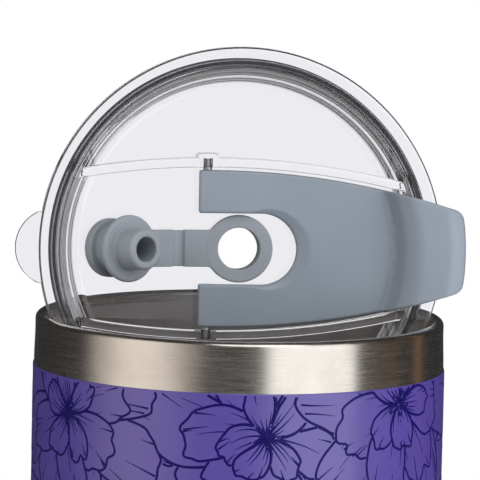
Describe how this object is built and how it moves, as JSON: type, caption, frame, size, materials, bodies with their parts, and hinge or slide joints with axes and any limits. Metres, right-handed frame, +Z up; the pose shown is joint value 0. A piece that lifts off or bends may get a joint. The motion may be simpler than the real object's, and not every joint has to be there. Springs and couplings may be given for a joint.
{
  "type": "insulated tumbler with lid",
  "caption": "Vacuum-walled steel tumbler with a powder-coated side and a clear lid stood in its mouth, with a flip lever and a folding silicone straw plug.",
  "frame": {"origin": "centre of the flat underside, on the tumbler's axis", "axes": "+Z up along the tumbler's axis, -Y the way the parked lid's top face looks, +X towards the tip of its lever"},
  "size_m": [0.0995, 0.0908, 0.2439],
  "materials": {
    "brushed_steel": "brushed round the axis",
    "powder_coat": "satin powder coat with a line pattern",
    "solder": "dull",
    "getter": "matt",
    "clear_copolyester": "clear, polished",
    "smoke_silicone": "smoke grey, translucent",
    "lever_plastic": "satin",
    "pin_steel": "polished",
    "grey_silicone": "satin"
  },
  "bodies": {
    "tumbler": {"inner_liner": "brushed_steel", "outer_shell": "brushed_steel", "powder_coat": "powder_coat", "vacuum_bottom": "brushed_steel", "seal_pellet": "solder", "getter": "getter", "base_cover": "brushed_steel"},
    "lid": {"lid_body": "clear_copolyester", "lid_gasket": "smoke_silicone", "straw_grommet": "grey_silicone"},
    "lever": {"flip_lever": "lever_plastic", "hinge_pin_upper": "pin_steel", "hinge_pin_lower": "pin_steel", "lever_seal": "grey_silicone"},
    "plug": {"straw_plug": "grey_silicone"}
  },
  "joints": [
    {"name": "lid_lift", "type": "slide", "parent": "tumbler", "child": "lid", "axis": [0, 0, 1], "range_m": [0, 0.06]},
    {"name": "lever_flip", "type": "hinge", "parent": "lid", "child": "lever", "pos_m": [-0.0072, 0.00568, 0.19895], "axis": [0, -0.0872, -0.9962], "range_deg": [0, 95]},
    {"name": "plug_fold", "type": "hinge", "parent": "lid", "child": "plug", "pos_m": [-0.0134, 0.00558, 0.19896], "axis": [0, 0.0872, 0.9962], "range_deg": [0, 145]}
  ]
}
